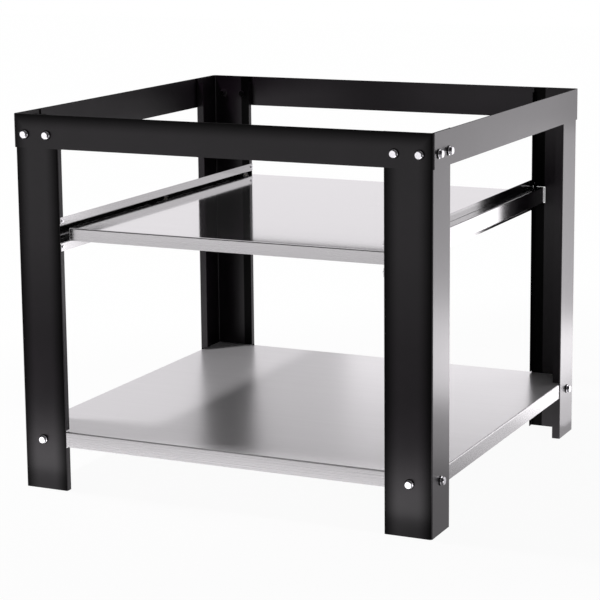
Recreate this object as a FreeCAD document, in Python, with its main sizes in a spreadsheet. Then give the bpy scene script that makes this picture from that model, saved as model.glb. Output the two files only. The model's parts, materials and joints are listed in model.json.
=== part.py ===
"""An outdoor pizza oven table: four folded steel legs inside a flat steel ring, a bolted
bottom shelf, and a middle tray that runs out at the front on four ball bearing rollers.

Millimetres. The origin is on the floor under the middle of the table, the front looks
along -Y, +X is to the right and +Z is up.
"""
import FreeCAD, Part
import math
import os
import re
import Sketcher

doc = FreeCAD.newDocument("pizza_oven_table")

# Driving sizes

SIZES = [
    ("table_height", 855, "floor to the top edge"),
    ("ring_width", 1000, "top ring, outside, left to right"),
    ("ring_depth", 960, "top ring, outside, front to back"),
    ("ring_height", 75, "height of the ring's band"),
    ("ring_wall", 3, "thickness of the ring's band"),
    ("ring_bend", 8, "outside bend radius of the ring's corners"),
    ("corner_gap", 0.5, "how much rounder a leg's corner is than the ring around it"),
    ("leg_gauge", 2, "sheet of the legs"),
    ("leg_face_width", 108, "leg, face on the front or back"),
    ("leg_side_width", 102, "leg, face on the left or right"),
    ("face_lip", 16, "return lip at the edge of a front or back face"),
    ("side_lip", 19, "return lip at the edge of a side face"),
    ("lip_bend", 3, "outside bend radius of the lips"),
    ("bolt_size", 10, "thread of the ring and shelf bolts"),
    ("bolt_play", 0.5, "gap round a bolt in its hole"),
    ("bolt_flange", 10.8, "radius of a bolt's or nut's flange"),
    ("bolt_flange_rim", 1.4, "thickness of that flange at its rim"),
    ("bolt_head_flats", 15, "width of the hexagon over its flats"),
    ("bolt_head_height", 9.6, "head with its flange"),
    ("bolt_tip", 2.5, "thread past the nut"),
    ("nut_height", 10, "nut with its flange"),
    ("nut_play", 0.05, "gap between a nut's bore and the thread"),
    ("ring_bolt_drop", 45, "ring bolts below the top edge"),
    ("ring_bolt_corner", 30, "first ring bolt from the ring's corner"),
    ("ring_bolt_pitch", 56, "first to second ring bolt"),
    ("shelf_top", 137.5, "top of the bottom shelf above the floor"),
    ("shelf_gauge", 1.5, "sheet of the bottom shelf"),
    ("shelf_flange", 35, "downturned edge of the bottom shelf"),
    ("shelf_bend", 3, "outside bend radius of its edge"),
    ("shelf_bolt_drop", 22, "shelf bolts below the shelf's top"),
    ("shelf_bolt_inset", 50, "shelf bolts from a leg's corner"),
    ("notch_gap", 3, "gap round what passes through a lip's notch"),
    ("stiffener_gauge", 1.5, "sheet of the stiffeners"),
    ("stiffener_crown", 37, "inside width of a stiffener's channel"),
    ("stiffener_foot", 15, "foot of a stiffener that lies on the sheet above"),
    ("stiffener_depth", 20, "depth of the shelf's stiffeners"),
    ("stiffener_end_gap", 28, "stiffener's end to the inside of the edge"),
    ("shelf_stiffener_pitch", 400, "between the shelf's two stiffeners"),
    ("rail_middle", 589, "middle of the side rails above the floor"),
    ("rail_gauge", 1.5, "sheet of the side rails"),
    ("rail_channel", 36.5, "clear height of a rail's channel"),
    ("rail_depth", 29.5, "depth of a rail, from the face of its feet to the back of its channel"),
    ("rail_foot", 18.25, "a rail's foot above and below its channel"),
    ("rail_bend", 2.5, "outside bend radius of the rails"),
    ("rail_end_gap", 1, "a rail's end to the leg in front of it"),
    ("rail_screw_size", 5, "thread of the screws that hold the rails"),
    ("rail_screw_play", 0.25, "gap round such a screw in its hole"),
    ("rail_screw_head", 4.7, "radius of its head"),
    ("rail_screw_head_height", 2.6, "height of its head"),
    ("rail_screw_end", 6.5, "screw's middle from the edge of the lip"),
    ("rail_nut_flats", 8, "its nut over the flats"),
    ("rail_nut_height", 4, "height of its nut"),
    ("rail_screw_tip", 1, "thread past its nut"),
    ("tray_top", 600, "top of the tray above the floor"),
    ("tray_gauge", 1.5, "sheet of the tray"),
    ("tray_flange", 28.5, "downturned edge of the tray"),
    ("tray_bend", 3, "outside bend radius of its edge"),
    ("tray_side_gap", 2.5, "tray to the edges of the legs on each side"),
    ("tray_front_inset", 30, "tray's front behind the front of the legs"),
    ("tray_back_inset", 12, "tray's back in front of the back of the legs"),
    ("tray_stiffener_depth", 18, "depth of the tray's stiffeners"),
    ("tray_stiffener_pitch", 380, "between the tray's two stiffeners"),
    ("relief_gap", 1, "a pan's open corner past the inside bend of a leg"),
    ("roller_front", 20, "front rollers behind the middle of the table"),
    ("roller_back_inset", 15, "back rollers in front of the tray's back"),
    ("roller_radius", 17.5, "outside radius of a roller"),
    ("roller_width", 11, "width of a roller"),
    ("roller_play", 0.3, "roller to the lower side of the rail's channel"),
    ("ball_circle", 11.25, "radius of the circle of a roller's balls"),
    ("ball_size", 6.35, "diameter of the balls"),
    ("ball_count", 7, "balls in a roller"),
    ("race_play", 0.05, "gap round a ball in its races"),
    ("race_depth", 1.2, "how deep a ball lies in each ring"),
    ("cage_thickness", 2, "wall of the cage that spaces the balls"),
    ("cage_width", 8, "width of the cage"),
    ("cage_play", 0.15, "gap round a ball in its cage"),
    ("spacer_length", 9, "tray to roller"),
    ("spacer_radius", 7, "outside radius of the spacer between them"),
    ("axle_size", 10, "thread of the rollers' axle bolts"),
    ("axle_play", 0.05, "gap round an axle bolt in what it holds"),
    ("axle_flats", 16, "axle bolt's head and nut over the flats"),
    ("axle_head_height", 6.4, "height of its head"),
    ("axle_nut_height", 8, "height of its nut"),
    ("axle_tip", 1.5, "thread past its nut"),
]

sheet = doc.addObject("Spreadsheet::Sheet", "Sizes")
for row, (alias, number, note) in enumerate(SIZES, start=1):
    sheet.set(f"A{row}", note)
    sheet.set(f"B{row}", str(number))
    sheet.setAlias(f"B{row}", alias)
doc.recompute()


def bound(formula):
    """The formula with each size's name pointed at the sheet."""
    return re.sub(r"[a-z][a-z_]*", lambda word: "Sizes." + word.group(0), str(formula))


def number_of(formula):
    """What the formula comes to with the sheet's present sizes."""
    return float(sheet.evalExpression(bound(formula)))


# Places worked out from the driving sizes

RING_X = "(ring_width / 2)"
RING_Y = "(ring_depth / 2)"
LEG_X = f"({RING_X} - ring_wall)"
LEG_Y = f"({RING_Y} - ring_wall)"
LEG_BEND = "(ring_bend - ring_wall + corner_gap)"
INNER_X = f"({LEG_X} - leg_gauge)"
INNER_Y = f"({LEG_Y} - leg_gauge)"
LIP_X = f"({LEG_X} - leg_face_width)"
LIP_Y = f"({LEG_Y} - leg_side_width)"
RING_BOLT_Z = "(table_height - ring_bolt_drop)"
RING_BOLTS_X = [f"({RING_X} - ring_bolt_corner)", f"({RING_X} - ring_bolt_corner - ring_bolt_pitch)"]
RING_BOLTS_Y = [f"({RING_Y} - ring_bolt_corner)", f"({RING_Y} - ring_bolt_corner - ring_bolt_pitch)"]
SHELF_BOLT_X = f"({LEG_X} - shelf_bolt_inset)"
SHELF_BOLT_Y = f"({LEG_Y} - shelf_bolt_inset)"
SHELF_BOLT_Z = "(shelf_top - shelf_bolt_drop)"
BOLT_HOLE = "(bolt_size / 2 + bolt_play)"

CORNER_RELIEF = f"({LEG_BEND} - leg_gauge + relief_gap)"
TRAY_X = f"({LIP_X} - tray_side_gap)"
TRAY_FRONT = f"({LEG_Y} - tray_front_inset)"
TRAY_BACK = f"({LEG_Y} - tray_back_inset)"

CHANNEL_HALF = "(rail_channel / 2 + rail_gauge)"
RAIL_INNER = f"({LIP_X} - rail_gauge)"
RAIL_END = f"({INNER_Y} - rail_end_gap)"
RAIL_SCREW_UP = f"({CHANNEL_HALF} + rail_foot / 2)"
RAIL_SCREW_Y = f"({LEG_Y} - face_lip + rail_screw_end)"
RAIL_SCREW_HOLE = "(rail_screw_size / 2 + rail_screw_play)"

ROLLER_Z = "(rail_middle - rail_channel / 2 + roller_play + roller_radius)"
ROLLER_X = f"({TRAY_X} + spacer_length)"
ROLLERS_Y = ["roller_front", f"({TRAY_BACK} - roller_back_inset)"]
BALL_RADIUS = "(ball_size / 2)"
RACE_RADIUS = "(ball_size / 2 + race_play)"
AXLE_HOLE = "(axle_size / 2 + axle_play)"


# Ways of drawing and cutting


def new_body(label):
    """An empty body named after the piece."""
    body = doc.addObject("PartDesign::Body", label)
    body.Label = label
    return body


def new_sketch(body, plane, height="0"):
    """A sketch on the body's own plane, moved along the plane's normal."""
    sketch = body.newObject("Sketcher::SketchObject", body.Name + "_sketch")
    support = next(item for item in body.Origin.OriginFeatures if item.Role == plane)
    sketch.AttachmentSupport = [(support, "")]
    sketch.MapMode = "FlatFace"
    sketch.setExpression("AttachmentOffset.Base.z", bound(height))
    return sketch


def constrain(sketch, constraints, formulas):
    """Add the constraints and tie those that hold a size to their formulas."""
    first = len(sketch.Constraints)
    sketch.addConstraint(constraints)
    for index, formula in formulas:
        sketch.setExpression(f"Constraints[{first + index}]", bound(formula))


def draw_outline(sketch, corners):
    """Close an outline of level and upright lines through corners (x, y, bend radius).

    A corner without a bend has the radius None. Every end of a line is held at its own
    place, and each bend is an arc that touches both of its lines.
    """
    points = [FreeCAD.Vector(number_of(x), number_of(y), 0) for x, y, bend in corners]
    count = len(corners)
    ways = [(points[(k + 1) % count] - points[k]).normalize() for k in range(count)]
    leaves = []
    arrives = []
    for k, (x, y, bend) in enumerate(corners):
        inward = ways[k - 1]
        outward = ways[k]
        radius = bend or "0"
        arrives.append((f"{x} - ({round(inward.x)}) * {radius}", f"{y} - ({round(inward.y)}) * {radius}"))
        leaves.append((f"{x} + ({round(outward.x)}) * {radius}", f"{y} + ({round(outward.y)}) * {radius}"))

    def at(place):
        return FreeCAD.Vector(number_of(place[0]), number_of(place[1]), 0)

    first = sketch.GeometryCount
    lines = [Part.LineSegment(at(leaves[k]), at(arrives[(k + 1) % count])) for k in range(count)]
    sketch.addGeometry(lines, False)
    constraints = []
    formulas = []

    def hold(line, end, place):
        for kind, formula in zip(("DistanceX", "DistanceY"), place):
            constraints.append(Sketcher.Constraint(kind, -1, 1, line, end, number_of(formula)))
            formulas.append((len(constraints) - 1, formula))

    for k, (x, y, bend) in enumerate(corners):
        line = first + k
        before = first + (k - 1) % count
        hold(line, 1, leaves[k])
        if bend is None:
            constraints.append(Sketcher.Constraint("Coincident", before, 2, line, 1))
            continue
        hold(before, 2, arrives[k])
        radius = number_of(bend)
        centre = points[k] - ways[k - 1] * radius + ways[k] * radius
        turns_left = ways[k - 1].cross(ways[k]).z > 0
        ends = [at(arrives[k]) - centre, at(leaves[k]) - centre]
        joined = [(before, 2), (line, 1)]
        if not turns_left:
            ends.reverse()
            joined.reverse()
        start, stop = [math.atan2(end.y, end.x) for end in ends]
        circle = Part.Circle(centre, FreeCAD.Vector(0, 0, 1), radius)
        arc = sketch.addGeometry(Part.ArcOfCircle(circle, start, stop), False)
        constraints.append(Sketcher.Constraint("Coincident", arc, 1, *joined[0]))
        constraints.append(Sketcher.Constraint("Coincident", arc, 2, *joined[1]))
        constraints.append(Sketcher.Constraint("Radius", arc, radius))
        formulas.append((len(constraints) - 1, bend))
    constrain(sketch, constraints, formulas)


def draw_rectangle(sketch, left, right, low, high, bend=None):
    """A rectangle between two x and two y places."""
    corners = [(left, low, bend), (right, low, bend), (right, high, bend), (left, high, bend)]
    draw_outline(sketch, corners)


def draw_circles(sketch, centres, radius):
    """Equal circles round the centres."""
    constraints = []
    formulas = []
    for x, y in centres:
        middle = FreeCAD.Vector(number_of(x), number_of(y), 0)
        circle = sketch.addGeometry(Part.Circle(middle, FreeCAD.Vector(0, 0, 1), number_of(radius)), False)
        constraints.append(Sketcher.Constraint("Radius", circle, number_of(radius)))
        formulas.append((len(constraints) - 1, radius))
        for kind, formula in (("DistanceX", x), ("DistanceY", y)):
            constraints.append(Sketcher.Constraint(kind, -1, 1, circle, 3, number_of(formula)))
            formulas.append((len(constraints) - 1, formula))
    constrain(sketch, constraints, formulas)


def pad(body, sketch, length):
    """Grow the sketch along its plane's normal."""
    feature = body.newObject("PartDesign::Pad", body.Name + "_pad")
    feature.Profile = sketch
    feature.setExpression("Length", bound(length))
    return feature


def pocket(body, sketch, depth):
    """Cut the sketch into the body, against its plane's normal."""
    feature = body.newObject("PartDesign::Pocket", body.Name + "_pocket")
    feature.Profile = sketch
    feature.setExpression("Length", bound(depth))
    return feature


def mirrored(label, source, normal):
    """The source seen in a plane through the origin."""
    feature = doc.addObject("Part::Mirroring", label)
    feature.Label = label
    feature.Source = source
    feature.Normal = normal
    return feature


def both_signs(formulas):
    """Each place and its mirror image on the other side of the origin."""
    return [sign + formula for formula in formulas for sign in ("", "0 - ")]


# Top ring


def wall_holes(body, half_x, half_y, wall, along_x, along_y, height):
    """Bolt holes in the four upright walls of a ring or a pan.

    The faces on the front and back get holes at the places along_x, those on the left
    and right at the places along_y.
    """
    front_and_back = [half_y, f"0 - ({half_y} - {wall})"]
    left_and_right = [half_x, f"0 - ({half_x} - {wall})"]
    for plane, offsets, places in (("XZ_Plane", front_and_back, along_x), ("YZ_Plane", left_and_right, along_y)):
        for offset in offsets:
            sketch = new_sketch(body, plane, offset)
            draw_circles(sketch, [(place, height) for place in places], BOLT_HOLE)
            pocket(body, sketch, wall)


def top_ring():
    """One flat band bent round into a frame that holds the four legs together."""
    body = new_body("top_ring")
    sketch = new_sketch(body, "XY_Plane", "table_height - ring_height")
    draw_rectangle(sketch, f"0 - {RING_X}", RING_X, f"0 - {RING_Y}", RING_Y, "ring_bend")
    draw_rectangle(sketch, f"0 - {LEG_X}", LEG_X, f"0 - {LEG_Y}", LEG_Y, "(ring_bend - ring_wall)")
    pad(body, sketch, "ring_height")
    front_only = [f"0 - {place}" for place in RING_BOLTS_Y]
    wall_holes(body, RING_X, RING_Y, "ring_wall", both_signs(RING_BOLTS_X), front_only, RING_BOLT_Z)
    return body


# Legs


def leg_at_front_right(label, bolted_on_side):
    """An angle of folded sheet with a return lip along both free edges.

    The lips are notched where the bottom shelf and the side rail pass through them.
    """
    body = new_body(label)
    inside = "leg_gauge"
    inner_lip_bend = "(lip_bend - leg_gauge)"
    sketch = new_sketch(body, "XY_Plane")
    draw_outline(sketch, [
        (LIP_X, f"0 - {LEG_Y} + face_lip", None),
        (LIP_X, f"0 - {LEG_Y}", "lip_bend"),
        (LEG_X, f"0 - {LEG_Y}", LEG_BEND),
        (LEG_X, f"0 - {LIP_Y}", "lip_bend"),
        (f"{LEG_X} - side_lip", f"0 - {LIP_Y}", None),
        (f"{LEG_X} - side_lip", f"0 - {LIP_Y} - {inside}", None),
        (INNER_X, f"0 - {LIP_Y} - {inside}", inner_lip_bend),
        (INNER_X, f"0 - {INNER_Y}", f"({LEG_BEND} - leg_gauge)"),
        (f"{LIP_X} + {inside}", f"0 - {INNER_Y}", inner_lip_bend),
        (f"{LIP_X} + {inside}", f"0 - {LEG_Y} + face_lip", None),
    ])
    pad(body, sketch, "table_height")

    front = new_sketch(body, "XZ_Plane", LEG_Y)
    draw_circles(front, [(place, RING_BOLT_Z) for place in RING_BOLTS_X] + [(SHELF_BOLT_X, SHELF_BOLT_Z)], BOLT_HOLE)
    pocket(body, front, "leg_gauge")

    side = new_sketch(body, "YZ_Plane", LEG_X)
    side_holes = [(f"0 - {SHELF_BOLT_Y}", SHELF_BOLT_Z)]
    if bolted_on_side:
        side_holes += [(f"0 - {place}", RING_BOLT_Z) for place in RING_BOLTS_Y]
    draw_circles(side, side_holes, BOLT_HOLE)
    pocket(body, side, "leg_gauge")

    shelf_low = "shelf_top - shelf_flange - notch_gap"
    shelf_high = "shelf_top + notch_gap"
    rail_low = f"rail_middle - {CHANNEL_HALF} - notch_gap"
    rail_high = f"rail_middle + {CHANNEL_HALF} + notch_gap"
    face_lip_cut = new_sketch(body, "YZ_Plane", f"{LIP_X} + leg_gauge + notch_gap")
    lip_inside = f"0 - {INNER_Y}"
    lip_past = f"0 - {LEG_Y} + face_lip + notch_gap"
    draw_rectangle(face_lip_cut, lip_inside, lip_past, shelf_low, shelf_high)
    draw_rectangle(face_lip_cut, lip_inside, lip_past, rail_low, rail_high)
    screws = [(f"0 - {RAIL_SCREW_Y}", f"rail_middle + {sign} * {RAIL_SCREW_UP}") for sign in ("(1)", "(-1)")]
    draw_circles(face_lip_cut, screws, RAIL_SCREW_HOLE)
    pocket(body, face_lip_cut, "leg_gauge + 2 * notch_gap")

    side_lip_cut = new_sketch(body, "XZ_Plane", f"{LIP_Y} + leg_gauge + notch_gap")
    draw_rectangle(side_lip_cut, f"{LEG_X} - side_lip - notch_gap", INNER_X, shelf_low, shelf_high)
    pocket(body, side_lip_cut, "leg_gauge + 2 * notch_gap")
    return body


# Folded pans


def pan(label, half_x, front, back, top, flange, gauge, bend):
    """A sheet with all four edges folded down and its corners left open."""
    body = new_body(label)
    level = f"{top} - {flange}"
    sketch = new_sketch(body, "XY_Plane", level)
    draw_rectangle(sketch, f"0 - {half_x}", half_x, f"0 - {front}", back)
    block = pad(body, sketch, flange)
    doc.recompute()
    round_edges(body, block, top, bend)
    hollow = new_sketch(body, "XY_Plane", f"{top} - {gauge}")
    draw_rectangle(hollow, f"0 - {half_x} + {gauge}", f"{half_x} - {gauge}", f"0 - {front} + {gauge}", f"{back} - {gauge}")
    cut = pocket(body, hollow, f"{flange} - {gauge}")
    doc.recompute()
    round_edges(body, cut, f"{top} - {gauge}", f"({bend} - {gauge})")
    corners = new_sketch(body, "XY_Plane", top)
    left = (f"0 - {half_x}", f"0 - {half_x} + {CORNER_RELIEF}")
    right = (f"{half_x} - {CORNER_RELIEF}", half_x)
    for x_low, x_high in (left, right):
        draw_rectangle(corners, x_low, x_high, f"0 - {front}", f"0 - {front} + {CORNER_RELIEF}")
        draw_rectangle(corners, x_low, x_high, f"{back} - {CORNER_RELIEF}", back)
    pocket(body, corners, flange)
    return body


def round_edges(body, feature, height, radius):
    """Round the four level edges at a height."""
    level = number_of(height)
    names = []
    for index, edge in enumerate(feature.Shape.Edges, start=1):
        box = edge.BoundBox
        if abs(box.ZMin - level) < 1e-6 and abs(box.ZMax - level) < 1e-6:
            names.append(f"Edge{index}")
    fillet = body.newObject("PartDesign::Fillet", body.Name + "_bend")
    fillet.Base = (feature, names[:])
    fillet.setExpression("Radius", bound(radius))
    return fillet


def hat_corners(half_crown, foot, depth, gauge, bend, place):
    """The outline of a hat section: two feet and a channel between them.

    place(a, b) turns a place across the section and a place in its depth into the
    sketch's own x and y. The feet's open face lies at depth 0.
    """
    outer = f"({bend})"
    inner = f"({bend} - {gauge})"
    half = f"({half_crown} + {gauge})"
    edge = f"({half_crown} + {gauge} + {foot})"
    floor = f"({depth} - {gauge})"
    right_half = [
        (half_crown, floor, inner),
        (half_crown, "0", outer),
        (edge, "0", None),
        (edge, gauge, None),
        (half, gauge, inner),
        (half, depth, outer),
    ]
    left_half = [(f"(0 - {across})", deep, radius) for across, deep, radius in reversed(right_half)]
    return [(*place(across, deep), radius) for across, deep, radius in right_half + left_half]


def stiffener(label, across, top, half_length, depth):
    """A hat section under a shelf, with its feet welded to the sheet."""
    body = new_body(label)
    sketch = new_sketch(body, "YZ_Plane", f"0 - {half_length}")
    corners = hat_corners("(stiffener_crown / 2)", "stiffener_foot", depth, "stiffener_gauge", "rail_bend",
                          lambda a, b: (f"{across} + {a}", f"{top} - {b}"))
    draw_outline(sketch, corners)
    pad(body, sketch, f"2 * {half_length}")
    return body


# Side rails


def side_rail():
    """A hat section along the right side whose channel takes the rollers."""
    body = new_body("side_rail_right")
    sketch = new_sketch(body, "XZ_Plane", f"0 - {RAIL_END}")
    corners = hat_corners("(rail_channel / 2)", "rail_foot", "rail_depth", "rail_gauge", "rail_bend",
                          lambda a, b: (f"{RAIL_INNER} + {b}", f"rail_middle + {a}"))
    draw_outline(sketch, corners)
    pad(body, sketch, f"2 * {RAIL_END}")
    holes = new_sketch(body, "YZ_Plane", LIP_X)
    centres = [(y, f"rail_middle + {sign} * {RAIL_SCREW_UP}")
               for y in both_signs([RAIL_SCREW_Y]) for sign in ("(1)", "(-1)")]
    draw_circles(holes, centres, RAIL_SCREW_HOLE)
    pocket(body, holes, "rail_gauge")
    return body


# Rollers: each turns about a level axis through the tray's side


def solid_along_x(kind, label, place, **sizes):
    """A round solid about a line along X, at a place (x, y, z)."""
    solid = doc.addObject("Part::" + kind, label)
    for size, formula in sizes.items():
        solid.setExpression(size, bound(formula))
    solid.Placement = FreeCAD.Placement(FreeCAD.Vector(), FreeCAD.Rotation(FreeCAD.Vector(0, 1, 0), 90))
    for axis, formula in zip("xyz", place):
        solid.setExpression(f"Placement.Base.{axis}", bound(formula))
    return solid


def cut_from(label, base, *tools):
    """The base with the tools taken out of it, one after another."""
    for tool in tools:
        step = doc.addObject("Part::Cut", label + "_cut")
        step.Base = base
        step.Tool = tool
        base = step
    base.Label = label
    return base


def together(label, links):
    """Several pieces or solids as one."""
    compound = doc.addObject("Part::Compound", label)
    compound.Label = label
    compound.Links = links
    return compound


def tube(label, place, length, outer, inner):
    """A round tube along X."""
    body = solid_along_x("Cylinder", label + "_outside", place, Radius=outer, Height=length)
    bore = solid_along_x("Cylinder", label + "_bore", place, Radius=inner, Height=length)
    return cut_from(label, body, bore)


def bearing_ring(label, y, outer, inner):
    """A hardened ring on the right side with a groove for the balls."""
    plain = tube(label + "_plain", (ROLLER_X, y, ROLLER_Z), "roller_width", outer, inner)
    middle = (f"{ROLLER_X} + roller_width / 2", y, ROLLER_Z)
    groove = solid_along_x("Torus", label + "_groove", middle, Radius1="ball_circle", Radius2=RACE_RADIUS)
    return cut_from(label, plain, groove)


def ball_angles():
    """Where the balls stand round their circle, in radians."""
    count = round(number_of("ball_count"))
    return [2 * math.pi * k / count for k in range(count)]


def ball_set(label, y):
    """The balls of one roller."""
    spheres = []
    for angle in ball_angles():
        across = f"{y} + ball_circle * ({math.cos(angle)})"
        height = f"{ROLLER_Z} + ball_circle * ({math.sin(angle)})"
        place = (f"{ROLLER_X} + roller_width / 2", across, height)
        spheres.append(solid_along_x("Sphere", label + "_ball", place, Radius=BALL_RADIUS))
    return together(label, spheres)


def ball_cage(label, y):
    """A short tube with a round pocket for every ball."""
    place = (f"{ROLLER_X} + roller_width / 2 - cage_width / 2", y, ROLLER_Z)
    outside = "(ball_circle + cage_thickness / 2)"
    inside = "(ball_circle - cage_thickness / 2)"
    sleeve = tube(label + "_sleeve", place, "cage_width", outside, inside)
    middle = (f"{ROLLER_X} + roller_width / 2", y, ROLLER_Z)
    pockets = []
    for angle in ball_angles():
        pocket_round = solid_along_x("Cylinder", label + "_pocket", middle,
                                     Radius=f"{BALL_RADIUS} + cage_play", Height="ball_circle + cage_thickness")
        outward = FreeCAD.Vector(0, math.cos(angle), math.sin(angle))
        pocket_round.Placement.Rotation = FreeCAD.Rotation(FreeCAD.Vector(0, 0, 1), outward)
        pockets.append(pocket_round)
    return cut_from(label, sleeve, *pockets)


def group(label, solids):
    """Several separate solids of one kind in one piece's file."""
    feature = doc.addObject("Part::Feature", label)
    feature.Label = label
    feature.Shape = Part.makeCompound(solids)
    return feature


# Fasteners: the bearing face lies at height 0, the head above it and the thread below it


def hexagon(flats, height):
    """An upright hexagonal prism with a flat towards +X."""
    reach = flats / math.sqrt(3)
    angles = [(k + 0.5) * math.pi / 3 for k in range(7)]
    points = [FreeCAD.Vector(reach * math.cos(angle), reach * math.sin(angle), 0) for angle in angles]
    return Part.Face(Part.makePolygon(points)).extrude(FreeCAD.Vector(0, 0, height))


def flanged_hexagon(height):
    """A hexagon that grows out of a sloping round flange, its top corners turned off."""
    flats = number_of("bolt_head_flats")
    flange = number_of("bolt_flange")
    rim = number_of("bolt_flange_rim")
    slope = flange - flats / 2
    chamfer = 0.12 * flats
    skirt = Part.makeCylinder(flange, rim).fuse(Part.makeCone(flange, flats / 2, slope / 2, FreeCAD.Vector(0, 0, rim)))
    turned = Part.makeCone(flats / 2 + height - chamfer / 3, flats / 2 - chamfer / 3, height)
    return hexagon(flats, height).common(turned).fuse(skirt).removeSplitter()


def flange_bolt(grip):
    """A flanged hexagon bolt through a stack of sheets of this thickness and its nut."""
    length = grip + number_of("nut_height") + number_of("bolt_tip")
    thread = Part.makeCylinder(number_of("bolt_size") / 2, length, FreeCAD.Vector(0, 0, -length))
    return flanged_hexagon(number_of("bolt_head_height")).fuse(thread).removeSplitter()


def flange_nut():
    """A flanged hexagon nut that bears on height 0."""
    height = number_of("nut_height")
    bore = Part.makeCylinder(number_of("bolt_size / 2 + nut_play"), height)
    return flanged_hexagon(height).cut(bore)


def hexagon_bolt(size, flats, head_height, length):
    """A plain hexagon bolt."""
    thread = Part.makeCylinder(size / 2, length, FreeCAD.Vector(0, 0, -length))
    return hexagon(flats, head_height).fuse(thread).removeSplitter()


def pan_screw(size, head, head_height, length):
    """A screw with a low round head."""
    cap = Part.makeCone(head, 0.75 * head, head_height)
    return cap.fuse(Part.makeCylinder(size / 2, length, FreeCAD.Vector(0, 0, -length))).removeSplitter()


def plain_nut(flats, height, bore):
    """A hexagon nut without a flange."""
    return hexagon(flats, height).cut(Part.makeCylinder(bore, height))


def placed(shape, place, way):
    """A copy of a fastener with its bearing face at the place and its head towards the way."""
    copy = shape.copy()
    turn = FreeCAD.Rotation(FreeCAD.Vector(0, 0, 1), FreeCAD.Vector(*way))
    copy.Placement = FreeCAD.Placement(FreeCAD.Vector(*place), turn)
    return copy


def ring_bolt_places(depth):
    """Places and outward ways of the ring's bolts at a depth behind the ring's face."""
    z = number_of(RING_BOLT_Z)
    face = number_of(RING_Y) - depth
    side = number_of(RING_X) - depth
    places = []
    for x in [number_of(place) for place in RING_BOLTS_X]:
        for hand in (-1, 1):
            for front in (-1, 1):
                places.append(((hand * x, front * face, z), (0, front, 0)))
    for y in [number_of(place) for place in RING_BOLTS_Y]:
        for hand in (-1, 1):
            places.append(((hand * side, -y, z), (hand, 0, 0)))
    return places


def shelf_bolt_places(depth):
    """Places and outward ways of the shelf's bolts at a depth behind the legs' face."""
    x = number_of(SHELF_BOLT_X)
    y = number_of(SHELF_BOLT_Y)
    z = number_of(SHELF_BOLT_Z)
    face = number_of(LEG_Y) - depth
    side = number_of(LEG_X) - depth
    places = []
    for hand in (-1, 1):
        for front in (-1, 1):
            places.append(((hand * x, front * face, z), (0, front, 0)))
            places.append(((hand * side, front * y, z), (hand, 0, 0)))
    return places


def rail_screw_places(x):
    """Places and inward ways of the rails' screws at a distance from the middle."""
    places = []
    for hand in (-1, 1):
        for front in (-1, 1):
            for sign in (-1, 1):
                z = number_of("rail_middle") + sign * number_of(RAIL_SCREW_UP)
                places.append(((hand * x, front * number_of(RAIL_SCREW_Y), z), (-hand, 0, 0)))
    return places


def axle_places(x):
    """Places and outward ways of the rollers' axles at a distance from the middle."""
    z = number_of(ROLLER_Z)
    return [((hand * x, number_of(y), z), (hand, 0, 0)) for hand in (-1, 1) for y in ROLLERS_Y]


def away(places):
    """The same places with their ways turned round."""
    return [(place, tuple(-part for part in way)) for place, way in places]


def axle_holes(body, offset):
    """Holes for the rollers' axles through a side of the tray that starts at the offset."""
    sketch = new_sketch(body, "YZ_Plane", offset)
    draw_circles(sketch, [(y, ROLLER_Z) for y in ROLLERS_Y], AXLE_HOLE)
    pocket(body, sketch, "tray_gauge")


# Everything put together

ring = top_ring()
front_right = leg_at_front_right("leg_front_right", True)
back_pattern = leg_at_front_right("leg_back_pattern", False)
front_left = mirrored("leg_front_left", front_right, (1, 0, 0))
back_right = mirrored("leg_back_right", back_pattern, (0, 1, 0))
back_left = mirrored("leg_back_left", back_right, (1, 0, 0))

shelf = pan("bottom_shelf", INNER_X, INNER_Y, INNER_Y, "shelf_top", "shelf_flange", "shelf_gauge", "shelf_bend")
wall_holes(shelf, INNER_X, INNER_Y, "shelf_gauge", both_signs([SHELF_BOLT_X]), both_signs([SHELF_BOLT_Y]), SHELF_BOLT_Z)
shelf_under = "(shelf_top - shelf_gauge)"
shelf_reach = f"({INNER_X} - shelf_gauge - stiffener_end_gap)"
shelf_ribs = [
    stiffener("shelf_stiffener_front", "(0 - shelf_stiffener_pitch / 2)", shelf_under, shelf_reach, "stiffener_depth"),
    stiffener("shelf_stiffener_back", "(shelf_stiffener_pitch / 2)", shelf_under, shelf_reach, "stiffener_depth"),
]

rail_right = side_rail()
rail_left = mirrored("side_rail_left", rail_right, (1, 0, 0))

tray = pan("tray", TRAY_X, TRAY_FRONT, TRAY_BACK, "tray_top", "tray_flange", "tray_gauge", "tray_bend")
axle_holes(tray, TRAY_X)
axle_holes(tray, f"0 - {TRAY_X} + tray_gauge")
tray_under = "(tray_top - tray_gauge)"
tray_reach = f"({TRAY_X} - tray_gauge - stiffener_end_gap)"
tray_ribs = [
    stiffener("tray_stiffener_front", "(0 - tray_stiffener_pitch / 2)", tray_under, tray_reach, "tray_stiffener_depth"),
    stiffener("tray_stiffener_back", "(tray_stiffener_pitch / 2)", tray_under, tray_reach, "tray_stiffener_depth"),
]

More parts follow.
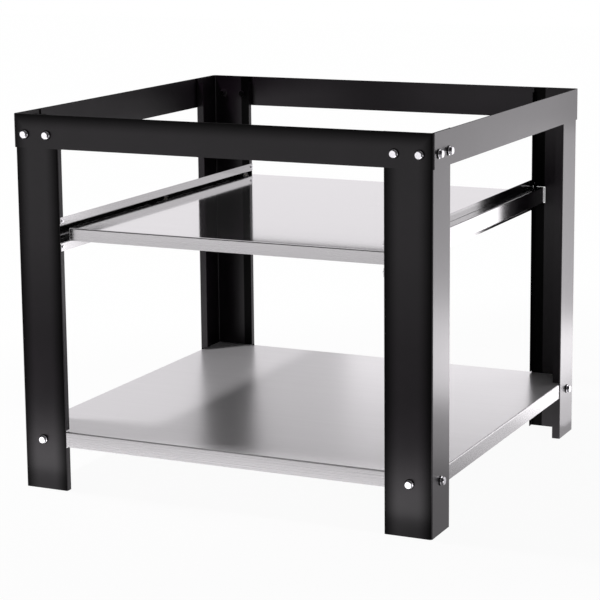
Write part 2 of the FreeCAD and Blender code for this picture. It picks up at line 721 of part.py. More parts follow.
rollers = []
inner_rings = []
spacers = []
inner_edge = f"(ball_circle - {BALL_RADIUS} + race_depth)"
outer_edge = f"(ball_circle + {BALL_RADIUS} - race_depth)"
for side, y in zip(("front", "back"), ROLLERS_Y):
    rollers += [
        bearing_ring(f"roller_{side}_right", y, "roller_radius", outer_edge),
        ball_cage(f"roller_cage_{side}_right", y),
        ball_set(f"roller_balls_{side}_right", y),
    ]
    inner_rings.append(bearing_ring(f"inner_ring_{side}", y, inner_edge, AXLE_HOLE))
    spacers.append(tube(f"spacer_{side}", (TRAY_X, y, ROLLER_Z), "spacer_length", "spacer_radius", AXLE_HOLE))
rollers += [mirrored(piece.Label.replace("right", "left"), piece, (1, 0, 0)) for piece in rollers]
inner_rings += [mirrored(piece.Label + "_left", piece, (1, 0, 0)) for piece in inner_rings]
spacers += [mirrored(piece.Label + "_left", piece, (1, 0, 0)) for piece in spacers]
rollers += [together("roller_inner_rings", inner_rings), together("roller_spacers", spacers)]
doc.recompute()

ring_grip = number_of("ring_wall + leg_gauge")
shelf_grip = number_of("leg_gauge + shelf_gauge")
rail_grip = number_of("rail_gauge + leg_gauge")
ring_bolt = flange_bolt(ring_grip)
shelf_bolt = flange_bolt(shelf_grip)
nut = flange_nut()
rail_screw = pan_screw(number_of("rail_screw_size"), number_of("rail_screw_head"), number_of("rail_screw_head_height"),
                       rail_grip + number_of("rail_nut_height + rail_screw_tip"))
rail_nut = plain_nut(number_of("rail_nut_flats"), number_of("rail_nut_height"),
                     number_of("rail_screw_size / 2 + nut_play"))
axle_length = number_of("tray_gauge + spacer_length + roller_width + axle_nut_height + axle_tip")
axle = hexagon_bolt(number_of("axle_size"), number_of("axle_flats"), number_of("axle_head_height"), axle_length)
axle_nut = plain_nut(number_of("axle_flats"), number_of("axle_nut_height"), number_of(AXLE_HOLE))

fasteners = [
    group("ring_bolts", [placed(ring_bolt, *spot) for spot in ring_bolt_places(0)]),
    group("ring_nuts", [placed(nut, *spot) for spot in away(ring_bolt_places(ring_grip))]),
    group("shelf_bolts", [placed(shelf_bolt, *spot) for spot in shelf_bolt_places(0)]),
    group("shelf_nuts", [placed(nut, *spot) for spot in away(shelf_bolt_places(shelf_grip))]),
    group("rail_screws", [placed(rail_screw, *spot) for spot in rail_screw_places(number_of(RAIL_INNER))]),
    group("rail_nuts", [placed(rail_nut, *spot)
                        for spot in away(rail_screw_places(number_of(f"{LIP_X} + leg_gauge")))]),
    group("roller_axles", [placed(axle, *spot) for spot in axle_places(number_of(f"{ROLLER_X} + roller_width"))]),
    group("roller_axle_nuts", [placed(axle_nut, *spot)
                               for spot in away(axle_places(number_of(f"{TRAY_X} - tray_gauge")))]),
]

pieces = [ring, front_left, front_right, back_left, back_right, shelf, *shelf_ribs, rail_left, rail_right]
pieces += [tray, *tray_ribs, *rollers, *fasteners]
doc.recompute()

# Checks, then one file for each piece

for item in doc.Objects:
    if "Invalid" in item.State or "Error" in item.State:
        raise RuntimeError(f"{item.Label} did not build: {item.State}")
    if item.TypeId == "PartDesign::Pocket" and item.Shape.Volume > item.BaseFeature.Shape.Volume - 0.1:
        raise RuntimeError(f"{item.Label} cuts nothing")

os.makedirs("parts", exist_ok=True)
for piece in pieces:
    shape = piece.Shape
    if shape.isNull() or not shape.isValid():
        raise RuntimeError(f"{piece.Label} has no valid solid")
    shape.exportStep(os.path.join("parts", piece.Label + ".step"))
print(len(pieces), "pieces")
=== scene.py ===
# %% [markdown]
# # An outdoor pizza oven table
#
# The table is already modelled in CAD: four folded steel legs inside a flat steel ring, a
# bottom shelf, and a tray on rollers between two side rails. This lesson gives it its
# finishes, a studio and a camera. Every object is in metres, with the floor at height 0,
# the front towards -Y and the right side towards +X.

# %% Load the table
import json
import math

import bpy
import numpy as np
from mathutils import Matrix, Vector

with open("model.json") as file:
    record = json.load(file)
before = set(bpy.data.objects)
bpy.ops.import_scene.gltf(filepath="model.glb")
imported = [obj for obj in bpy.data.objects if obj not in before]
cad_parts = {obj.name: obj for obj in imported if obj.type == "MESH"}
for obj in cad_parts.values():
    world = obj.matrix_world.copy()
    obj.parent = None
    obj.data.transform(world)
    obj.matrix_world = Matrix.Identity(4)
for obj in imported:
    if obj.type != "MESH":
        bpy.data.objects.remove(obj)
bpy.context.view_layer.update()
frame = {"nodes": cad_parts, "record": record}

# %% [markdown]
# ## Writing shader maths as plain sums
#
# A finish is a web of nodes, and most of its nodes only add and multiply. Wiring them by
# hand hides the sum that they stand for. So one small class wraps a socket and lets Python's
# own signs add the Math nodes, and one method of a second class adds every other kind of
# node.

# %% Sockets that can be added and multiplied


class Signal:
    """A socket of a node tree. Sums with it add Math nodes to the tree."""

    def __init__(self, nodes, socket):
        self.nodes = nodes
        self.socket = socket

    def math(self, operation, *others):
        """This socket and others through one Math node."""
        inputs = dict(enumerate((self, *others)))
        return self.nodes.add("ShaderNodeMath", {"operation": operation}, inputs)

    def __add__(self, other):
        return self.math("ADD", other)

    def __mul__(self, other):
        return self.math("MULTIPLY", other)

    def __sub__(self, other):
        return self.math("SUBTRACT", other)

    def __rsub__(self, other):
        return (self * -1) + other

    __radd__ = __add__
    __rmul__ = __mul__

    def size(self):
        """Its distance from 0."""
        return self.math("ABSOLUTE")

    def between(self, low, high):
        """0 up to low, 1 from high on, and a smooth rise between them."""
        inputs = {"Value": self, "From Min": low, "From Max": high}
        return self.nodes.add("ShaderNodeMapRange", {"interpolation_type": "SMOOTHSTEP"}, inputs)


# %% The nodes of a material


class Nodes:
    """The node tree of a material or of the world."""

    def __init__(self, tree):
        self.tree = tree
        tree.nodes.clear()

    def add(self, kind, settings=None, inputs=None, output=0):
        """Add a node, set it up, feed its inputs with values or signals, and give one output."""
        node = self.tree.nodes.new(kind)
        for name, value in (settings or {}).items():
            setattr(node, name, value)
        for name, value in (inputs or {}).items():
            if isinstance(value, Signal):
                self.tree.links.new(value.socket, node.inputs[name])
            else:
                node.inputs[name].default_value = value
        return Signal(self, node.outputs[output])

    def mixed_colour(self, share, first, second):
        """The first colour where share is 0 and the second where it is 1."""
        # A Mix node has one set of sockets for each data type: 6 and 7 are its colours.
        return self.add("ShaderNodeMix", {"data_type": "RGBA"}, {0: share, 6: first, 7: second}, 2)

    def place(self, stretch=(1, 1, 1)):
        """The point on the object, in metres, stretched along each axis."""
        point = self.add("ShaderNodeTexCoord", output="Object")
        return self.add("ShaderNodeMapping", None, {"Vector": point, "Scale": stretch})

    def parts(self, vector):
        """The three parts of a vector, from the three outputs of one node."""
        first = self.add("ShaderNodeSeparateXYZ", None, {0: vector})
        return [Signal(self, output) for output in first.socket.node.outputs]

    def axes(self):
        """The three parts of the point on the object, in metres."""
        return self.parts(self.add("ShaderNodeTexCoord", output="Object"))

    def facing(self):
        """The three parts of the surface's direction: towards +X, +Y and +Z."""
        return self.parts(self.add("ShaderNodeNewGeometry", output="Normal"))

    def noise(self, point, scale, detail):
        """A cloudy pattern from 0 to 1, with so many clouds for each metre."""
        inputs = {"Vector": point, "Scale": scale, "Detail": detail}
        return self.add("ShaderNodeTexNoise", None, inputs, "Fac")

    def bump(self, height, distance):
        """A surface direction for a height from 0 to 1 that stands for a distance in metres."""
        return self.add("ShaderNodeBump", None, {"Height": height, "Distance": distance})

    def surface(self, **inputs):
        """End the tree in one Principled surface. An underscore stands for a space."""
        named = {name.replace("_", " "): value for name, value in inputs.items()}
        shader = self.add("ShaderNodeBsdfPrincipled", None, named)
        self.show("ShaderNodeOutputMaterial", shader)

    def show(self, kind, shader):
        """End the tree in a shader, at the output of a material or of the world."""
        end = self.tree.nodes.new(kind)
        self.tree.links.new(shader.socket, end.inputs["Surface"])


# %% An empty finish


def new_finish(name):
    """An empty material and its nodes."""
    material = bpy.data.materials.new(name)
    material.use_nodes = True
    return material, Nodes(material.node_tree)


def count_nodes(*materials):
    """Print how many nodes each material took."""
    for material in materials:
        print(f"{material.name}: {len(material.node_tree.nodes)} nodes")


def grey(level):
    """A colour with three equal parts."""
    return (level, level, level, 1.0)


# %% [markdown]
# ## Painted shade near the coat's edges
#
# Ring and legs are baked powder coat. Near the edges of a sheet the coat is painted darker
# and less glossy, as painted shade. A painted mask would show that, but a mask
# has to be painted anew when a size changes. A distance from the sheet's edge, worked out
# from the point on the table, does the same with a few sums. Inside each leg a narrow strip
# beside the folded lip is painted darker too, as painted shade.

# %% Distances from the edges of ring and legs
RING_TOP, RING_END = 0.855, 0.500
LEG_MIDDLE, LEG_HALF_WIDTH = 0.443, 0.054
RAIL_WEB = 0.4179
FACE_EDGE = 0.001
OUTWARDS = (0.3, 0.4)


def inside_ring(nodes):
    """The way in from the top edge and the ends of the ring's front and back.

    It is the lesser of the way down from the top and the way in from the nearer end.
    """
    x, _, z = nodes.axes()
    return (RING_TOP - z).math("MINIMUM", RING_END - x.size())


def inside_leg(nodes):
    """The way in from the nearest upright edge of a leg's front or back face.

    It is half the leg's width less the distance from its middle.
    """
    x, _, _ = nodes.axes()
    return LEG_HALF_WIDTH - (x.size() - LEG_MIDDLE).size()


def painted_lip_strip_shade(nodes):
    """1 on the strip inside a leg, beside its lip, that is painted darker as painted shade, 0
    beside it.
    """
    x, y, _ = nodes.axes()
    _, out_y, _ = nodes.facing()
    inner_face = (-1 * y * out_y).between(*OUTWARDS)
    return inner_face * (1 - x.size().between(RAIL_WEB - FACE_EDGE, RAIL_WEB + FACE_EDGE))


print(f"a leg's face is {2000 * LEG_HALF_WIDTH:.0f} mm wide from edge to edge")

# %% [markdown]
# ## Slots in the legs
#
# The back legs are slotted round the ends of the side rails, and daylight shows through as
# a fine bright bracket. The folded lips stop a little below the ring's top. Both are cuts
# through thin sheet. A Boolean would cut the mesh, but the CAD pieces keep theirs, so the
# finish makes the sheet clear there: a slot is where the distance from the rail's outline
# lies between nothing and the slot's width.

# %% Slots and cut lips
RAIL_MIDDLE, RAIL_HALF_HEIGHT = 0.589, 0.0183
SLOT_WIDTH = 0.0019
SLOT_START = 0.397
BACK_FACE = 0.470
LIP_TOP = 0.843
INSIDE_FACES = (0.493, 0.473)
SOFT_EDGE = 0.0002


def slot_round_rail(nodes):
    """1 in the slot that a back leg has round the end of its side rail, 0 beside it.

    The distance from the rail is the greater of the distances past its web and its flange.
    """
    x, y, z = nodes.axes()
    off_web = x.size() - RAIL_WEB
    off_flange = (z - RAIL_MIDDLE).size() - RAIL_HALF_HEIGHT
    off_rail = off_web.math("MAXIMUM", off_flange)
    past_slot = off_rail.between(SLOT_WIDTH - SOFT_EDGE, SLOT_WIDTH)
    round_rail = off_rail.between(-SOFT_EDGE, 0) * (1 - past_slot)
    from_lip = x.size().between(SLOT_START, SLOT_START + SOFT_EDGE)
    return round_rail * from_lip * y.between(BACK_FACE, BACK_FACE + FACE_EDGE)


def above_lip(nodes):
    """1 over the lips' ends, which stop short of the leg's top, 0 beside them."""
    x, y, z = nodes.axes()
    half_width, half_depth = INSIDE_FACES
    off_faces = (x.size() - half_width).math("MAXIMUM", y.size() - half_depth)
    return z.between(LIP_TOP, LIP_TOP + SOFT_EDGE) * (1 - off_faces.between(0, SOFT_EDGE))


def leg_cuts(nodes):
    """All that is cut out of the legs."""
    return slot_round_rail(nodes).math("MAXIMUM", above_lip(nodes))


print(f"slot {1000 * SLOT_WIDTH:.1f} mm wide, lips cut {1000 * (RING_TOP - LIP_TOP):.0f} mm down")

# %% [markdown]
# ## Black powder coat
#
# The coat is satin black, with a fine skin of soft bumps a fraction of a millimetre apart,
# which spreads every reflection. A plain glossy black looks like piano lacquer, so the gloss
# is a coat layer over an almost lightless base, and noise gives it the uneven shine of a
# sprayed skin. Where it faces the bright ground behind the table at a flat angle it turns
# grey by itself, as the real coat does, so no grey is painted on. Near the edges of a sheet,
# on the strip inside each leg and on the sides that face in, painted shade darkens it and
# takes some of its gloss. Sheared edges are dull.

# %% Where painted shade darkens the coat
PAINTED_EDGE_SHADE = (-0.003, 0.035)


def sheared_and_painted_shade(nodes, way_in, sheared, lip_strip_shade):
    """1 where painted shade darkens the coat most and on sheared faces, 0 where it is whole."""
    _, y, _ = nodes.axes()
    _, out_y, _ = nodes.facing()
    outer_front = (y * out_y).between(*OUTWARDS)
    # Painted shade near the edges of the front and back faces, plus the dull sheared faces.
    dull_and_painted_shade = (1 - way_in(nodes).between(*PAINTED_EDGE_SHADE)) * outer_front + sheared
    return dull_and_painted_shade + lip_strip_shade(nodes) if lip_strip_shade else dull_and_painted_shade


# The painted edge shade ends this far in from an edge.
print(f"the coat is whole {1000 * PAINTED_EDGE_SHADE[1]:.0f} mm in from an edge")

# %% The coat
COAT_COLOUR = (0.0050, 0.0028, 0.0050, 1.0)
COAT_THIN = (0.0085, 0.0052, 0.0085, 1.0)
COAT_DULL_AND_SHADED = grey(0.001)
UNDER_COAT_IOR, COAT_IOR = 1.12, 1.46
COAT_ROUGHNESS, CLOUD_ROUGHNESS, PEEL_ROUGHNESS, SHEARED_ROUGHNESS = 0.30, 0.08, 0.05, 0.6
COAT_PEEL, PEEL_DEPTH = 900, 0.00004
COAT_CLOUD, CLOUD_GLOSS, CLOUD_SPREAD = 9, 0.1, (0.35, 0.75)
EDGE_LOSS, INSIDE_SHADE_LOSS = 0.95, 0.4
LEVEL_FACE = (0.8, 0.95)


def black_coat(name, way_in, cuts=None, lip_strip_shade=None):
    """Satin black powder coat, painted darker towards the edges of the sheet as painted shade.

    Its gloss is whole, less a share for painted shade and sheared faces, and on the sides that
    face in, where less gloss is painted shade too.
    """
    material, nodes = new_finish(name)
    point = nodes.place()
    peel = nodes.noise(point, COAT_PEEL, detail=1.5)
    cloud = nodes.noise(point, COAT_CLOUD, detail=4.0)
    x, _, _ = nodes.axes()
    out_x, _, out_z = nodes.facing()
    inner_side = (-1 * x * out_x).between(*OUTWARDS)
    sheared = out_z.size().between(*LEVEL_FACE)
    dull_and_painted_shade = sheared_and_painted_shade(nodes, way_in, sheared, lip_strip_shade)
    skin_roughness = CLOUD_ROUGHNESS * (cloud - 0.5) + PEEL_ROUGHNESS * (peel - 0.5)
    roughness = COAT_ROUGHNESS + skin_roughness + SHEARED_ROUGHNESS * sheared
    skin = nodes.mixed_colour(cloud.between(*CLOUD_SPREAD), COAT_COLOUR, COAT_THIN)
    # Painted shade: a darker colour and less gloss near the edges, on the strip inside the legs
    # and on the inward sides.
    colour = nodes.mixed_colour(dull_and_painted_shade, skin, COAT_DULL_AND_SHADED)
    gloss = 1 - EDGE_LOSS * dull_and_painted_shade - INSIDE_SHADE_LOSS * inner_side + CLOUD_GLOSS * (cloud - 0.5)
    nodes.surface(
        Base_Color=colour, Roughness=roughness, Normal=nodes.bump(peel, PEEL_DEPTH),
        IOR=UNDER_COAT_IOR, Coat_Weight=gloss, Coat_Roughness=COAT_ROUGHNESS,
        Coat_IOR=COAT_IOR, Alpha=1 - cuts(nodes) if cuts else 1.0,
    )
    return material


ring_coat = black_coat("black powder coat on the ring", inside_ring)
leg_coat = black_coat("black powder coat on the legs", inside_leg, leg_cuts, painted_lip_strip_shade)
count_nodes(ring_coat, leg_coat)

# %% [markdown]
# ## Brushed and polished steel
#
# The shelf, the tray and the rails are stainless sheet. A brush leaves thousands of hair
# lines along the sheet. Lines in a picture would turn to stripes from far away, so they are
# noise, pulled out to many times its length along one axis, over wider bands of the same
# kind. They darken and roughen the steel a little and catch the light. The shelf's top is
# satin and the tray's top is polished, so there the lines fade and the roughness drops.

# %% Hair lines
LINES_ACROSS, LINES_ALONG = 900, 3
BANDS_ACROSS, BANDS_ALONG = 40, 1.2


def hair(nodes, along, across_scale, along_scale, detail):
    """Noise pulled out into hairs along an axis (0, 1 or 2)."""
    stretch = [across_scale] * 3
    stretch[along] = along_scale
    return nodes.noise(nodes.place(stretch), 1.0, detail)


print("hairs are", LINES_ACROSS // LINES_ALONG, "times as long as they are wide")

# %% Steel sheet
STEEL_WORN, TOP_WORN = 0.96, 0.95
LINE_DEPTH, LINE_ROUGHNESS = 0.000004, 0.10
LINE_SHARE, LINE_SPREAD = 0.7, (0.35, 0.65)
TOP_FACE = (0.9, 0.99)
# The colour of the painted shade on the rails.
PAINTED_SHADE_GREY = grey(0.10)


def brushed_steel(name, along, rough, shade, metal=1.0, top=None, painted_shade=None):
    """Stainless sheet with hair lines along an axis, and maybe another finish on its top."""
    material, nodes = new_finish(name)
    lines = hair(nodes, along, LINES_ACROSS, LINES_ALONG, detail=3.0)
    bands = hair(nodes, along, BANDS_ACROSS, BANDS_ALONG, detail=2.0)
    share = (LINE_SHARE * lines + (1 - LINE_SHARE) * bands).between(*LINE_SPREAD)
    colour = nodes.mixed_colour(share, grey(STEEL_WORN * shade), grey(shade))
    roughness = rough + LINE_ROUGHNESS * (lines - 0.5)
    relief = lines
    if top:
        up = nodes.facing()[2].between(*TOP_FACE)
        top_shade = top["shade"] * (TOP_WORN + (1 - TOP_WORN) * share)
        colour = nodes.mixed_colour(up, colour, top_shade)
        roughness = roughness * (1 - up) + top["rough"] * up
        metal = metal + (top["metal"] - metal) * up
        relief = lines * (1 - (1 - top["lines"]) * up)
    # Painted shade mixed in, where a finish asks for it.
    if painted_shade:
        colour = nodes.mixed_colour(painted_shade(nodes), colour, PAINTED_SHADE_GREY)
    normal = nodes.bump(relief, LINE_DEPTH)
    nodes.surface(Base_Color=colour, Metallic=metal, Roughness=roughness, Normal=normal)
    return material


SATIN_TOP = {"shade": 0.67, "rough": 0.28, "metal": 0.46, "lines": 0.5}
POLISHED_TOP = {"shade": 0.62, "rough": 0.07, "metal": 0.97, "lines": 0.1}
# The satin and polished tops are real finishes. The shelf's sides are painted darker than its top,
# as painted shade, and the tray's sides lighter than its top, as painted light.
shelf_steel = brushed_steel(
    "shelf steel", along=0, rough=0.28, shade=0.54, metal=0.5, top=SATIN_TOP
)
tray_steel = brushed_steel("tray steel", along=0, rough=0.26, shade=0.72, top=POLISHED_TOP)
count_nodes(shelf_steel, tray_steel)

# %% [markdown]
# ## Painted shade on the rails
#
# The rollers run in the channels of the side rails. The channels are painted nearly black,
# as painted shade in the recess, and the outside of the upper foot a little less dark, as
# painted shade too. Both are places on the rail, so they are told apart by where the surface
# faces and how high it lies, and the same brushed steel takes the painted shade as one more mix.

# %% Rail steel
RAIL_FACING = (0.2, 0.3)
RAIL_FOOT_LOW = 0.6075
FOOT_EDGE = 0.002
CHANNEL_START = (RAIL_WEB - 0.010, RAIL_WEB - 0.004)
CHANNEL_SHADE, FOOT_SHADE = 0.9, 0.7


def rail_painted_shade(nodes):
    """Painted shade in the channel that the rollers run in, and lighter painted shade outside on
    the upper foot.
    """
    x, _, z = nodes.axes()
    out_x, _, _ = nodes.facing()
    outwards = x * out_x
    in_channel = (-1 * outwards).between(*RAIL_FACING) * x.size().between(*CHANNEL_START)
    on_foot = outwards.between(*RAIL_FACING) * z.between(RAIL_FOOT_LOW, RAIL_FOOT_LOW + FOOT_EDGE)
    return CHANNEL_SHADE * in_channel + FOOT_SHADE * on_foot


rail_steel = brushed_steel("rail steel", along=1, rough=0.14, shade=0.58, painted_shade=rail_painted_shade)
count_nodes(rail_steel)

# %% [markdown]
# ## Zinc plated bolts
#
# The bolts are bright zinc: smoother and a little bluer than the sheets, with a dull cloud
# here and there. Each head has a line of painted shade round it, on the rim where its flange
# turns down to the sheet. Twenty bolts could get that line by twenty textures, but they stand
# in rows that are mirrored left to right and front to back. So one sum gives the distance from
# the nearest bolt's axis, and the plate is painted dark, as painted shade, from a little inside
# the flange's edge on.

# %% Zinc plate
FLANGE_RIM = (0.0085, 0.0091)
PAINTED_RIM_SHADE = grey(0.02)
ZINC_BRIGHT, ZINC_DULL = (0.96, 0.96, 0.98, 1), (0.86, 0.86, 0.89, 1)
ZINC_CLOUD, ZINC_SPREAD, ZINC_DEPTH = 320, (0.4, 0.7), 0.00001
ZINC_METAL, ZINC_ROUGHNESS, ZINC_CLOUD_ROUGHNESS = 0.95, 0.07, 0.08
# All bolts of a row stand at one height. The table's front and back faces begin at "front",
# measured from its middle. There the bolts of a leg lie about "across" from the middle, and
# on the side faces about "back" from it, the two of a pair "apart" to either side of that.
RING_BOLTS = {"front": 0.480, "height": 0.810, "across": 0.442, "back": 0.422, "apart": 0.028}
SHELF_BOLTS = {"front": 0.477, "height": 0.1155, "across": 0.447, "back": 0.427, "apart": 0.0}


def off_bolt(nodes, row):
    """The distance from the axis of the nearest bolt of a row.

    It is the root of the squares of the distances along the face and up.
    """
    x, y, z = nodes.axes()
    on_front = y.size().between(row["front"] - SOFT_EDGE, row["front"])
    along_front = (x.size() - row["across"]).size() - row["apart"]
    along_side = (y.size() - row["back"]).size() - row["apart"]
    along = along_front * on_front + along_side * (1 - on_front)
    up = z - row["height"]
    return (along * along + up * up).math("SQRT")


def zinc_plate(name, row=None):
    """Bright zinc plate. The bolts of a row have painted shade along the rims of their flanges."""
    material, nodes = new_finish(name)
    cloud = nodes.noise(nodes.place(), ZINC_CLOUD, detail=3.0)
    colour = nodes.mixed_colour(cloud.between(*ZINC_SPREAD), ZINC_BRIGHT, ZINC_DULL)
    if row:
        # Painted shade along the flange's rim.
        colour = nodes.mixed_colour(off_bolt(nodes, row).between(*FLANGE_RIM), colour, PAINTED_RIM_SHADE)
    roughness = ZINC_ROUGHNESS + ZINC_CLOUD_ROUGHNESS * cloud
    normal = nodes.bump(cloud, ZINC_DEPTH)
    nodes.surface(Base_Color=colour, Metallic=ZINC_METAL, Roughness=roughness, Normal=normal)
    return material


zinc = zinc_plate("bright zinc plate")
ring_bolt_zinc = zinc_plate("zinc plate on the ring's bolts", RING_BOLTS)
shelf_bolt_zinc = zinc_plate("zinc plate on the shelf's bolts", SHELF_BOLTS)
count_nodes(zinc, ring_bolt_zinc, shelf_bolt_zinc)

# %% [markdown]
# ## Rollers
#
# The rollers are ball bearings of ground steel with a skin of black oxide, turned round
# axles that lie along X, and their cages are natural nylon. They show only in the channels
# and with the tray pulled out, so a thin cloud on a plain colour is enough for both.

# %% Bearing steel and nylon
OXIDE_LIGHT, OXIDE_DARK = grey(0.06), grey(0.03)
OXIDE_STRETCH, OXIDE_SPREAD = (1200, 60, 60), (0.4, 0.7)
OXIDE_ROUGHNESS, OXIDE_CLOUD_ROUGHNESS = 0.22, 0.12
NYLON_LIGHT, NYLON_DARK = (0.62, 0.57, 0.44, 1), (0.52, 0.47, 0.36, 1)
NYLON_CLOUD, NYLON_ROUGHNESS, NYLON_CLOUD_ROUGHNESS = 500, 0.40, 0.15


def bearing_steel():
    """Ground steel with a skin of black oxide and fine rings round the axle."""
    material, nodes = new_finish("bearing steel")
    cloud = nodes.noise(nodes.place(OXIDE_STRETCH), 1.0, detail=2.0)
    colour = nodes.mixed_colour(cloud.between(*OXIDE_SPREAD), OXIDE_LIGHT, OXIDE_DARK)
    roughness = OXIDE_ROUGHNESS + OXIDE_CLOUD_ROUGHNESS * cloud
    nodes.surface(Base_Color=colour, Metallic=1.0, Roughness=roughness)
    return material


def cage_nylon():
    """Natural nylon."""
    material, nodes = new_finish("cage nylon")
    cloud = nodes.noise(nodes.place(), NYLON_CLOUD, detail=2.0)
    colour = nodes.mixed_colour(cloud, NYLON_LIGHT, NYLON_DARK)
    nodes.surface(Base_Color=colour, Roughness=NYLON_ROUGHNESS + NYLON_CLOUD_ROUGHNESS * cloud)
    return material


roller_steel, roller_nylon = bearing_steel(), cage_nylon()
count_nodes(roller_steel, roller_nylon)

# %% [markdown]
# ## Giving each piece its finish
#
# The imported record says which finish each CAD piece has, so no second list has to be kept
# here. The pieces keep their own meshes, and only the material in their slots is changed.
# Four pieces get a finish of their own: the ring and the two sets of bolts, whose finishes
# depend on where they stand, and the rails' nuts, which were coated together with the legs.

# %% Dress the CAD pieces
finishes = {
    "black_coat": leg_coat,
    "shelf_steel": shelf_steel,
    "tray_steel": tray_steel,
    "rail_steel": rail_steel,
    "zinc_plated": zinc,
    "bearing_steel": roller_steel,
    "cage_nylon": roller_nylon,
}
own_finishes = {
    "top_ring": ring_coat,
    "rail_nuts": leg_coat,
    "ring_bolts": ring_bolt_zinc,
    "shelf_bolts": shelf_bolt_zinc,
}
for piece in frame["record"]["subparts"]:
    finish = own_finishes.get(piece["node"], finishes[piece["material_slot"]])
    for slot in frame["nodes"][piece["node"]].material_slots:
        slot.material = finish
print(len(frame["nodes"]), "CAD pieces dressed")

# %% [markdown]
# ## Floor
#
# The table stands on plain white ground. A white floor under strong light would bleach the
# pale steel too, so the floor's white comes from its own material: to the camera it mostly
# shines by itself and only a small share of it takes the table's shadow. In the gloss of
# the metal it is a studio's floor, bright near the table, with a darker band before it and
# a dark end on the right. From below it is clear, so that the table can be seen from there.

# %% A studio's floor in the gloss
FLOOR_IN_GLOSS = 0.90
LEFT_LIGHT = 0.07
BAND_DEPTH, BAND_Y, BAND_HALF = 0.80, -1.70, 1.1
RIGHT_DARK, RIGHT_END, RIGHT_BACK = 0.8, (1.0, 3.2), (0, 1.5)
NEAR_RIGHT = 0.38
NEAR_RIGHT_START, NEAR_RIGHT_STOP, NEAR_RIGHT_DEPTH = (0.3, 0.5), (0.75, 0.9), (0.9, 1.2)
NEAR_RIGHT_TURN = (-0.1, 0.3)


def floor_in_gloss(nodes, x, y):
    """The floor's brightness in the gloss of metal.

    It is a gentle slope from left to right, times what the dark band and the dark end leave.
    On the right, near the table, it is darker than that in front and brighter behind.
    """
    band = 1 - (y - BAND_Y).size().between(0.5 * BAND_HALF, BAND_HALF)
    right = x.between(*RIGHT_END) * y.between(*RIGHT_BACK)
    beside = x.between(*NEAR_RIGHT_START) * (1 - x.between(*NEAR_RIGHT_STOP))
    near_right = beside * (1 - y.size().between(*NEAR_RIGHT_DEPTH))
    front_to_back = 2 * y.between(*NEAR_RIGHT_TURN) - 1
    dark = (1 - BAND_DEPTH * band) * (1 - RIGHT_DARK * right)
    slope = (1 - LEFT_LIGHT * x) * (1 + NEAR_RIGHT * near_right * front_to_back)
    return FLOOR_IN_GLOSS * slope * dark


print(f"the dark band lies from y {BAND_Y - BAND_HALF:.1f} to {BAND_Y + BAND_HALF:.1f} m")

# %% The floor's finish
STUDIO_TINT = (1.0, 0.97, 1.0)
FLOOR_MATT = grey(0.9)
FLOOR_OWN_WHITE, FAR_OWN_WHITE, FAR = 0.95, 0.995, (1.2, 2.4)


def rays(nodes):
    """1 or 0 for a look that comes from the camera itself, and for one by way of a gloss."""
    names = ("Is Camera Ray", "Is Glossy Ray")
    return [nodes.add("ShaderNodeLightPath", output=name) for name in names]


def studio_tint(nodes, camera_ray):
    """White to the camera, and the studio's tint to all else."""
    return nodes.mixed_colour(camera_ray, (*STUDIO_TINT, 1), grey(1.0))


def white_floor():
    """A white sheet to the camera and a studio's floor in the gloss of metal."""
    material, nodes = new_finish("floor")
    camera_ray, glossy_ray = rays(nodes)
    x, y, _ = nodes.axes()
    far = (x.size() + y.size()).between(*FAR)
    strength = camera_ray + glossy_ray * floor_in_gloss(nodes, x, y)
    tint = studio_tint(nodes, camera_ray)
    glow = nodes.add("ShaderNodeEmission", None, {"Color": tint, "Strength": strength})
    matt = nodes.add("ShaderNodeBsdfDiffuse", None, {"Color": FLOOR_MATT})
    own_white = FLOOR_OWN_WHITE + (FAR_OWN_WHITE - FLOOR_OWN_WHITE) * far
    share = (camera_ray * own_white + glossy_ray).math("MINIMUM", 1.0)
    both = nodes.add("ShaderNodeMixShader", None, {0: share, 1: matt, 2: glow})
    clear = nodes.add("ShaderNodeBsdfTransparent")
    from_below = nodes.add("ShaderNodeNewGeometry", output="Backfacing")
    whole = nodes.add("ShaderNodeMixShader", None, {0: from_below, 1: both, 2: clear})
    nodes.show("ShaderNodeOutputMaterial", whole)
    return material


floor_finish = white_floor()
count_nodes(floor_finish)

# %% Lay the floor
FLOOR_HALF = 14.0


def lay_floor():
    """A square sheet on height 0: its corners are those of a unit square times its half."""
    corners = np.array([(-1, -1, 0), (1, -1, 0), (1, 1, 0), (-1, 1, 0)], float) * FLOOR_HALF
    mesh = bpy.data.meshes.new("floor")
    mesh.from_pydata(corners.tolist(), [], [(0, 1, 2, 3)])
    floor = bpy.data.objects.new("floor", mesh)
    bpy.context.scene.collection.objects.link(floor)
    mesh.materials.append(floor_finish)
    return floor


print("floor", [round(side, 1) for side in lay_floor().dimensions], "m")

# %% [markdown]
# ## World
#
# The world is what the metal mirrors where no lamp stands. A picture of a studio would do,
# but a plain rule is easier to steer: it is white behind the table and dark in front of it.
# The dark front, which reaches over the table, keeps the coat black and draws the thin dark
# lines along the bends of the sheets. Matt surfaces get less light from the world than the
# gloss does, so that pale steel keeps its tone.

# %% World
WORLD_FRONT, WORLD_BACK = 0.12, 1.0
WORLD_TURN = (-0.1, 0.4)
WORLD_IN_SHADE = 0.4


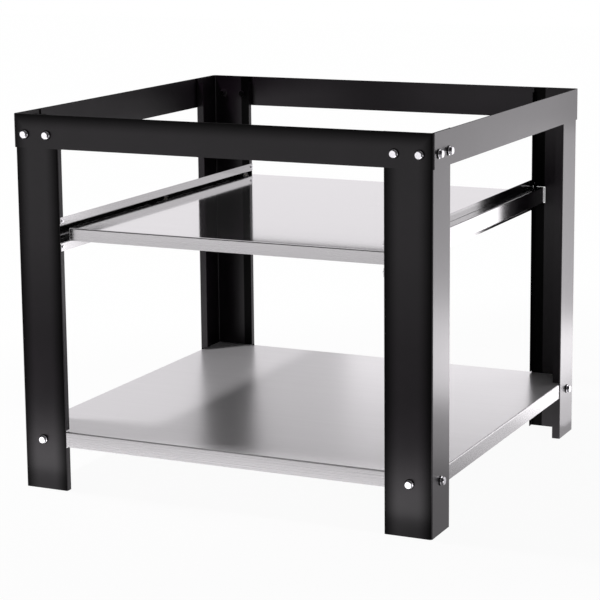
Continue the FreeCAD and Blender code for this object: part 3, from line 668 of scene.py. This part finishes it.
def light_world():
    """White to the camera, and to all else a studio that is white at the back alone."""
    world = bpy.data.worlds.new("studio")
    bpy.context.scene.world = world
    world.use_nodes = True
    nodes = Nodes(world.node_tree)
    way = nodes.add("ShaderNodeTexCoord", output="Generated")
    _, back, _ = nodes.parts(way)
    camera_ray, glossy_ray = rays(nodes)
    studio = WORLD_FRONT + (WORLD_BACK - WORLD_FRONT) * back.between(*WORLD_TURN)
    seen = glossy_ray + WORLD_IN_SHADE * (1 - glossy_ray)
    strength = studio * seen * (1 - camera_ray) + camera_ray
    inputs = {"Color": studio_tint(nodes, camera_ray), "Strength": strength}
    nodes.show("ShaderNodeOutputWorld", nodes.add("ShaderNodeBackground", None, inputs))


light_world()
print("world", WORLD_FRONT, "in front and", WORLD_BACK, "behind")

# %% [markdown]
# ## Lamps
#
# Steel shows its shape by what it mirrors. Soft lamps all round would light every face
# alike, so each lamp stands where only certain faces mirror it. The panels behind the table
# show in the level sheets and in the right sides of ring and legs, and the strips on the
# floor in the low ends of the upright faces. The lamp on the left lights the shelf from
# above. In the gloss it would draw white lines along the bends, so it is kept out of that.
# None of the lamps shows to the camera.

# %% Lamps
STRIP_HEIGHT = 0.012


def add_lamp(name, place, way, size, brightness, mirrored=True):
    """A rectangular lamp that shines one way.

    Its power is the brightness of its face, where a white sheet is 1, times pi times its area.
    """
    lamp = bpy.data.lights.new(name, "AREA")
    lamp.shape = "RECTANGLE"
    lamp.size, lamp.size_y = size
    lamp.color = STUDIO_TINT
    lamp.energy = brightness * math.pi * size[0] * size[1]
    holder = bpy.data.objects.new(name, lamp)
    holder.location = place
    holder.rotation_mode = "QUATERNION"
    holder.rotation_quaternion = Vector(way).to_track_quat("-Z", "Y")
    holder.visible_camera = False
    holder.visible_glossy = mirrored
    bpy.context.scene.collection.objects.link(holder)
    print(f"{name}: {size[0]} by {size[1]} m, {lamp.energy:.2f} W")


FORWARD, UP = (0, -1, 0), (0, 0, 1)
add_lamp("panel behind right", (1.64, 1.6, 0.55), FORWARD, (1.6, 1.1), 1.08)
add_lamp("panel behind the table", (-0.27, 1.6, 0.48), FORWARD, (0.70, 0.36), 0.85)
add_lamp("panel by the right back leg", (0.61, 0.78, 0.385), FORWARD, (0.22, 0.67), 0.4)
add_lamp("strip on the floor", (1.15, 1.1, STRIP_HEIGHT), UP, (1.0, 1.0), 3.3)
add_lamp("small strip on the floor", (0.58, 0.66, STRIP_HEIGHT), UP, (0.14, 0.42), 1.1)
add_lamp("strip before the table", (0, -0.715, STRIP_HEIGHT), UP, (2.8, 0.29), 1.4)
down_right = (0.926, 0.47, -2.25)
add_lamp("lamp on the left", (-1.226, -0.47, 2.4), down_right, (0.26, 0.22), 210, mirrored=False)

# %% [markdown]
# ## Camera
#
# The camera stands where the photographer's stood. It could be moved by eye until the
# table's edges fit, but its place, its turns and its long lens all change them a little. So
# they were worked out together from the straight edges of the table. The lens is shifted,
# because the photograph was cut from a larger one.

# %% Camera
CAMERA_PLACE = Vector((1.99724, -4.27377, 1.35787))
YAW = math.radians(24.469)
PITCH = math.radians(-10.026)
ROLL = math.radians(-0.385)
SENSOR_WIDTH = 36
IMAGE_SIDE = 600
FOCAL_PIXELS = 2036.8
VIEW_CENTRE = (330.5, 240.5)


def camera_turn():
    """The camera's three directions: yaw about the upright, then pitch, then roll."""
    level_forward = Vector((-math.sin(YAW), math.cos(YAW), 0))
    forward = level_forward * math.cos(PITCH) + Vector((0, 0, math.sin(PITCH)))
    level_right = Vector((math.cos(YAW), math.sin(YAW), 0))
    level_up = level_right.cross(forward)
    right = level_right * math.cos(ROLL) + level_up * math.sin(ROLL)
    up = level_up * math.cos(ROLL) - level_right * math.sin(ROLL)
    return Matrix((right, up, -forward)).transposed().to_4x4()


def place_camera():
    """A camera whose lens is the sensor's width times focal pixels over the image's side."""
    camera = bpy.data.cameras.new("camera")
    camera.sensor_width = SENSOR_WIDTH
    camera.lens = FOCAL_PIXELS / IMAGE_SIDE * SENSOR_WIDTH
    camera.shift_x = 0.5 - VIEW_CENTRE[0] / IMAGE_SIDE
    camera.shift_y = VIEW_CENTRE[1] / IMAGE_SIDE - 0.5
    holder = bpy.data.objects.new("camera", camera)
    holder.matrix_world = Matrix.Translation(CAMERA_PLACE) @ camera_turn()
    bpy.context.scene.collection.objects.link(holder)
    bpy.context.scene.camera = holder
    return camera


print("lens", round(place_camera().lens, 1), "mm")
bpy.context.scene.view_settings.view_transform = "Standard"
